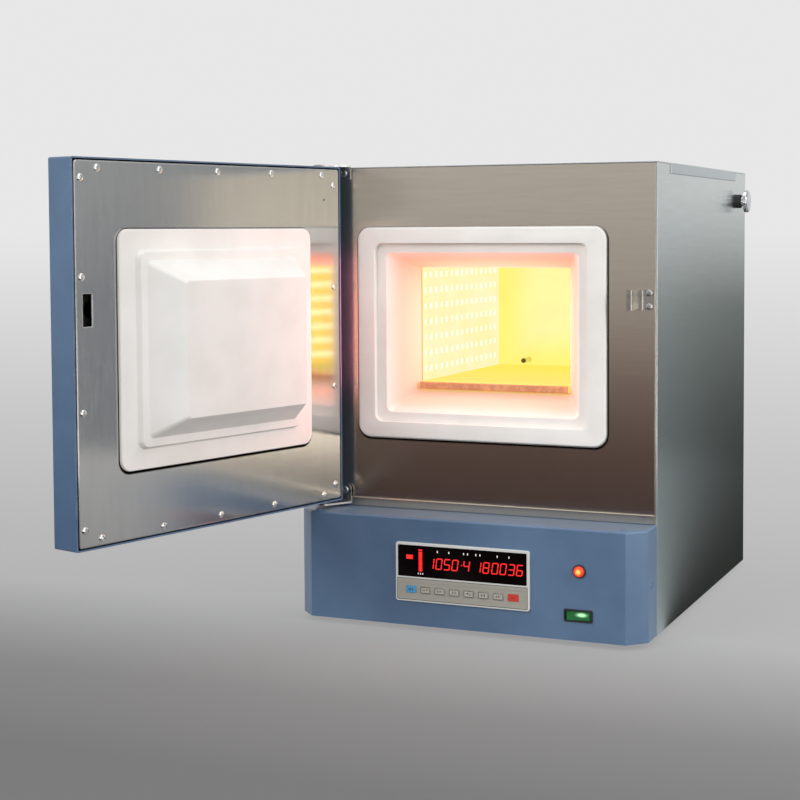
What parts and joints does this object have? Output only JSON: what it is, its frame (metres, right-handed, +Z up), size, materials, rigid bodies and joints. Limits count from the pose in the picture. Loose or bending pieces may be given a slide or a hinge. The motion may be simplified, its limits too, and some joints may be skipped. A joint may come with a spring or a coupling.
{
  "type": "electric furnace",
  "caption": "Bench muffle furnace with a side-hung door, a heated ceramic chamber in a sheet metal cabinet, and a controller, lamp and switch in its base.",
  "frame": {"origin": "middle of the base pan's underside, 6 mm above the surface that the feet stand on", "axes": "+Z up, the front looks along -Y, +X is the viewer's right; the door stands open 105 degrees about an upright axis at the front left corner"},
  "size_m": [0.5169, 0.8354, 0.5085],
  "materials": {
    "blue_paint": "satin",
    "stainless": "satin",
    "zinc_sheet": "satin",
    "steel_fastener": "satin",
    "ceramic_fibre": "matte",
    "refractory": "matte",
    "hearth": "matte",
    "white_ceramic": "satin",
    "element_wire": "matte",
    "black_plastic": "matte",
    "case_plastic": "satin",
    "dark_window": "gloss",
    "key_blue": "satin",
    "key_grey": "satin",
    "key_red": "satin",
    "orange_lens": "gloss",
    "green_button": "gloss",
    "chrome": "polished",
    "rubber": "matte",
    "aluminium": "satin"
  },
  "bodies": {
    "cabinet": {"base_front_cover": "blue_paint", "left_side_panel": "stainless", "right_side_panel": "stainless", "top_cover": "stainless", "front_panel": "stainless", "rear_panel": "stainless", "keeper": "stainless", "upper_hinge_bracket": "steel_fastener", "lower_hinge_bracket": "steel_fastener", "front_screws": "steel_fastener", "cover_screws": "steel_fastener", "flue_tube": "stainless", "base_pan": "zinc_sheet", "inner_casing": "zinc_sheet", "bay_shelf": "zinc_sheet", "collar": "ceramic_fibre", "floor_board": "ceramic_fibre", "roof_board": "ceramic_fibre", "left_side_board": "ceramic_fibre", "right_side_board": "ceramic_fibre", "rear_board": "ceramic_fibre", "front_board": "ceramic_fibre", "left_heater_panel": "refractory", "right_heater_panel": "refractory", "hearth_plate": "hearth", "left_heating_element": "element_wire", "right_heating_element": "element_wire", "element_terminals": "white_ceramic", "thermocouple": "white_ceramic", "rubber_feet": "rubber", "controller_case": "case_plastic", "display_window": "dark_window", "rocker_bezel": "black_plastic", "pilot_bezel": "black_plastic", "pilot_lens": "orange_lens", "solid_state_relay": "black_plastic", "heat_sink": "aluminium", "terminal_block": "black_plastic", "mains_gland": "black_plastic", "damper_bush": "black_plastic"},
    "door": {"door_shell": "blue_paint", "door_liner": "stainless", "door_insulation": "ceramic_fibre", "door_plug": "ceramic_fibre", "liner_screws": "steel_fastener", "hinge_bushes": "black_plastic", "latch_bush": "black_plastic"},
    "latch": {"latch_handle": "black_plastic", "latch_cam": "steel_fastener"},
    "rocker": {"rocker_button": "green_button"},
    "damper": {"damper_knob": "chrome", "damper_flap": "steel_fastener"},
    "key_1_body": {"key_1": "key_blue"},
    "key_2_body": {"key_2": "key_grey"},
    "key_3_body": {"key_3": "key_grey"},
    "key_4_body": {"key_4": "key_grey"},
    "key_5_body": {"key_5": "key_grey"},
    "key_6_body": {"key_6": "key_grey"},
    "key_7_body": {"key_7": "key_grey"},
    "key_8_body": {"key_8": "key_red"}
  },
  "joints": [
    {"name": "door_hinge", "type": "hinge", "parent": "cabinet", "child": "door", "pos_m": [-0.1787, -0.239, 0.313], "axis": [0, 0, 1], "range_deg": [-15, 105]},
    {"name": "latch_turn", "type": "hinge", "parent": "door", "child": "latch", "pos_m": [-0.26974, -0.56525, 0.355], "axis": [-0.9659, 0.2588, 0], "range_deg": [0, 90]},
    {"name": "rocker_rock", "type": "hinge", "parent": "cabinet", "child": "rocker", "pos_m": [0.1301, -0.2645, 0.0268], "axis": [0, 0, 1], "range_deg": [-12, 0]},
    {"name": "damper_turn", "type": "hinge", "parent": "cabinet", "child": "damper", "pos_m": [0, 0.168, 0.4635], "axis": [1, 0, 0], "range_deg": [0, 90]},
    {"name": "key_1_press", "type": "slide", "parent": "cabinet", "child": "key_1_body", "axis": [0, 1, 0], "range_m": [0, 0.0007], "stiffness_N_per_m": 400},
    {"name": "key_2_press", "type": "slide", "parent": "cabinet", "child": "key_2_body", "axis": [0, 1, 0], "range_m": [0, 0.0007], "stiffness_N_per_m": 400},
    {"name": "key_3_press", "type": "slide", "parent": "cabinet", "child": "key_3_body", "axis": [0, 1, 0], "range_m": [0, 0.0007], "stiffness_N_per_m": 400},
    {"name": "key_4_press", "type": "slide", "parent": "cabinet", "child": "key_4_body", "axis": [0, 1, 0], "range_m": [0, 0.0007], "stiffness_N_per_m": 400},
    {"name": "key_5_press", "type": "slide", "parent": "cabinet", "child": "key_5_body", "axis": [0, 1, 0], "range_m": [0, 0.0007], "stiffness_N_per_m": 400},
    {"name": "key_6_press", "type": "slide", "parent": "cabinet", "child": "key_6_body", "axis": [0, 1, 0], "range_m": [0, 0.0007], "stiffness_N_per_m": 400},
    {"name": "key_7_press", "type": "slide", "parent": "cabinet", "child": "key_7_body", "axis": [0, 1, 0], "range_m": [0, 0.0007], "stiffness_N_per_m": 400},
    {"name": "key_8_press", "type": "slide", "parent": "cabinet", "child": "key_8_body", "axis": [0, 1, 0], "range_m": [0, 0.0007], "stiffness_N_per_m": 400}
  ]
}
